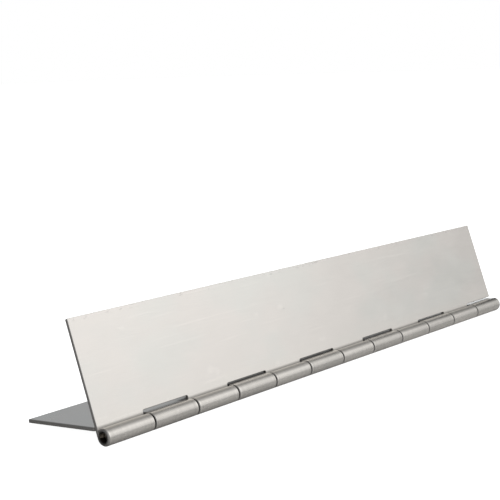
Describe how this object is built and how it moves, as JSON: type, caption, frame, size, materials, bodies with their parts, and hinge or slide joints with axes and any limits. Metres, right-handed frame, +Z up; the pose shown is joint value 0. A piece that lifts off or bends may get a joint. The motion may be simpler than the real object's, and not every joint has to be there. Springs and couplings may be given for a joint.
{
  "type": "piano hinge",
  "caption": "Continuous piano hinge: blank sheet-steel leaves whose rolled knuckles interlock on a long pin, folded back so that it stands by itself.",
  "frame": {"origin": "middle of the hinge's footprint, on the surface that it stands on", "axes": "+X along the pin, +Y from the barrel towards the rear leaf's free edge, +Z up"},
  "size_m": [0.3048, 0.0538, 0.0501],
  "materials": {
    "leaf_steel": "satin mill-finished stainless steel sheet",
    "pin_steel": "drawn stainless steel rod"
  },
  "bodies": {
    "rear_leaf": {"rear_leaf": "leaf_steel", "hinge_pin": "pin_steel"},
    "front_leaf": {"front_leaf": "leaf_steel"}
  },
  "joints": [
    {"name": "leaf_fold", "type": "hinge", "parent": "rear_leaf", "child": "front_leaf", "pos_m": [0, -0.02317, 0.00375], "axis": [1, 0, 0], "range_deg": [0, 287]}
  ]
}
